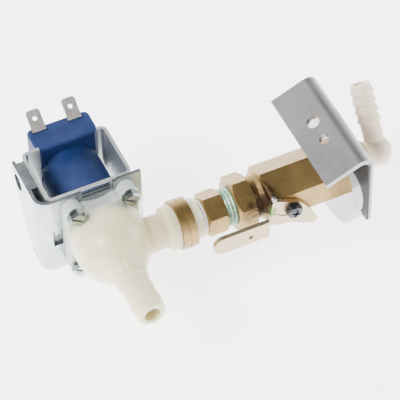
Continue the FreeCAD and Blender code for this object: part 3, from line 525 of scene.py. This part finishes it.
def squeezed(node, material):
    """A copy of a CAD node, on a mesh of its own, that takes the node's place."""
    piece = new_object(node + "_soft", nodes[node].data.copy(), material, node)
    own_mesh(piece)


def soften_edges(node, width_mm):
    """Rounds the sharp edges of a CAD node for its highlights."""
    bevel = nodes[node].modifiers.new("edge_round", "BEVEL")
    bevel.width, bevel.segments = width_mm * MM, EDGE_SEGMENTS
    bevel.limit_method, bevel.angle_limit = "ANGLE", math.radians(EDGE_ANGLE)


def coat(piece, material):
    piece.data.materials.clear()
    piece.data.materials.append(material)


# --- the pieces --------------------------------------------------------------------

# painted shade on the zinc, in the yoke's slot, behind its window and across the plate's middle: how much
# darker, then the zones that bound it, in mm
SLOT_WALL_SHADE = (1.0, ("X", -6.0, 7.0, 0.3), ("Y", 18.15, 19.4, 0.1), ("Z", 17.6, 20.6, 0.1))
WINDOW_SHADE = (0.85, ("X", -22.0, -16.0, 0.3), ("Y", 17.0, 19.0, 0.1), ("Z", -7.0, 4.0, 0.3))
PLATE_MIDDLE_SHADE = (0.5, ("X", -11.0, 13.0, 8.0), ("Y", 15.0, 17.8, 0.2))

# rounded edges that catch light: least angle in degrees, and width in mm
EDGE_SEGMENTS, EDGE_ANGLE = 2, 32
EDGE_WIDTHS = {
    "bracket_plate": 0.45, "bracket_leg": 0.45, "yoke_frame": 0.45, "yoke_shims": 0.2,
    "stainless_bracket": 0.3, "coil_terminals": 0.12, "lever": 0.4, "coil_shell": 0.3,
    "body_screws": 0.12, "lever_screw": 0.1, "hex_nipple": 0.15, "ball_valve_body": 0.2,
    "port_ring": 0.25, "bulkhead_washer": 0.4, "gland_nut": 0.2,
}

# mould softness: size of the voxels in mm, rounds of smoothing
BODY_MOULD, BONNET_MOULD, ELBOW_MOULD = (0.35, 4), (0.35, 3), (0.28, 4)


def metal_coats():
    """The materials of the metal parts, by CAD node."""
    zinc, plain_brass = zinc_plate(), brass()
    inner_steel = plain_metal("turned_steel", STEEL_DARK, STEEL_LIGHT, 0.3)
    copper = plain_metal("copper", (0.50, 0.20, 0.09), (0.72, 0.34, 0.17), 0.35)
    return {
        "bracket_plate": zinc_plate("plate_zinc", shades=(PLATE_MIDDLE_SHADE,)),
        "bracket_leg": zinc,
        "yoke_shims": zinc,
        # a lighter copy of the zinc, painted light for the yoke's lit inner faces, with painted shade in
        # its slot and behind its window
        "yoke_frame": zinc_plate("yoke_zinc", (0.60, 0.65, 0.67), (0.78, 0.80, 0.79), 0.34,
                                 (SLOT_WALL_SHADE, WINDOW_SHADE)),
        "body_screws": zinc_plate("screw_zinc", (0.24, 0.27, 0.28), (0.42, 0.45, 0.44), 0.13),
        "stop_pin": pin_metal(),
        "stainless_bracket": brushed_steel(),
        "bulkhead_washer": polished_steel(),
        "coil_terminals": tinned(),
        "coil_winding": copper,
        "shading_ring": copper,
        "guide_tube": inner_steel,
        "pole_piece": inner_steel,
        "plunger": inner_steel,
        "port_ring": plain_brass,
        "end_insert": plain_brass,
        "stem": plain_brass,
        "hex_nipple": brass("nipple_brass", thread=True),
        # heat stains with the lever's painted shadow over the neck, and more of both on the gland nut
        # behind the lever
        "ball_valve_body": brass("stained_shaded_brass", stain_and_shadow=2.6),
        "gland_nut": brass("dark_brass", stain_and_shadow=4.0),
        "ball": plain_metal("chrome_ball", (0.75, 0.75, 0.77), (0.85, 0.85, 0.86), 0.1),
        "lever": yellow_zinc(),
        "lever_screw": dark_metal(),
    }


def plastic_coats():
    """The materials of the plastic and rubber parts, by CAD node."""
    ptfe = matte("ptfe", (0.80, 0.80, 0.78), (0.90, 0.90, 0.88), 0.45)
    return {
        "coil_shell": blue_plastic(),
        "coil_bobbin": matte("bobbin_plastic", (0.02, 0.02, 0.02), (0.04, 0.04, 0.04), 0.4),
        "plunger_seal": matte("rubber", RUBBER_DARK, RUBBER_LIGHT, 0.6),
        "ptfe_tape": ptfe,
        "ball_seats": ptfe,
        "stem_packing": ptfe,
    }


def dress_cad_nodes():
    for coats in (metal_coats(), plastic_coats()):
        for node, material in coats.items():
            coat(nodes[node], material)
    for node, width in EDGE_WIDTHS.items():
        soften_edges(node, width)


def add_moulded_parts():
    ivory = nylon("ivory_nylon", (0.71, 0.68, 0.47), (0.64, 0.59, 0.36), 4.0)
    clear = nylon("clear_nylon", (0.76, 0.66, 0.55), (0.70, 0.58, 0.43), 3.0)
    moulded("moulded_body", ("valve_body",), BODY_MOULD, ivory)
    moulded("moulded_bonnet", ("bonnet",), BONNET_MOULD, ivory)
    moulded("moulded_elbow", ("hose_elbow", "hose_barb"), ELBOW_MOULD, clear)
    for node in ("diaphragm_insert", "inlet_strainer"):
        coat(nodes[node], ivory)


def add_working_parts():
    wire = plain_metal("spring_wire", STEEL_DARK, STEEL_LIGHT, 0.3)
    squeezed("plunger_spring", wire)
    rubber = matte("diaphragm_rubber", RUBBER_DARK, RUBBER_LIGHT, 0.6)
    squeezed("diaphragm", rubber)


dress_cad_nodes()
add_moulded_parts()
add_working_parts()
low, high = cad_box
add_camera()
add_stage((low + high) / 2, low.z)
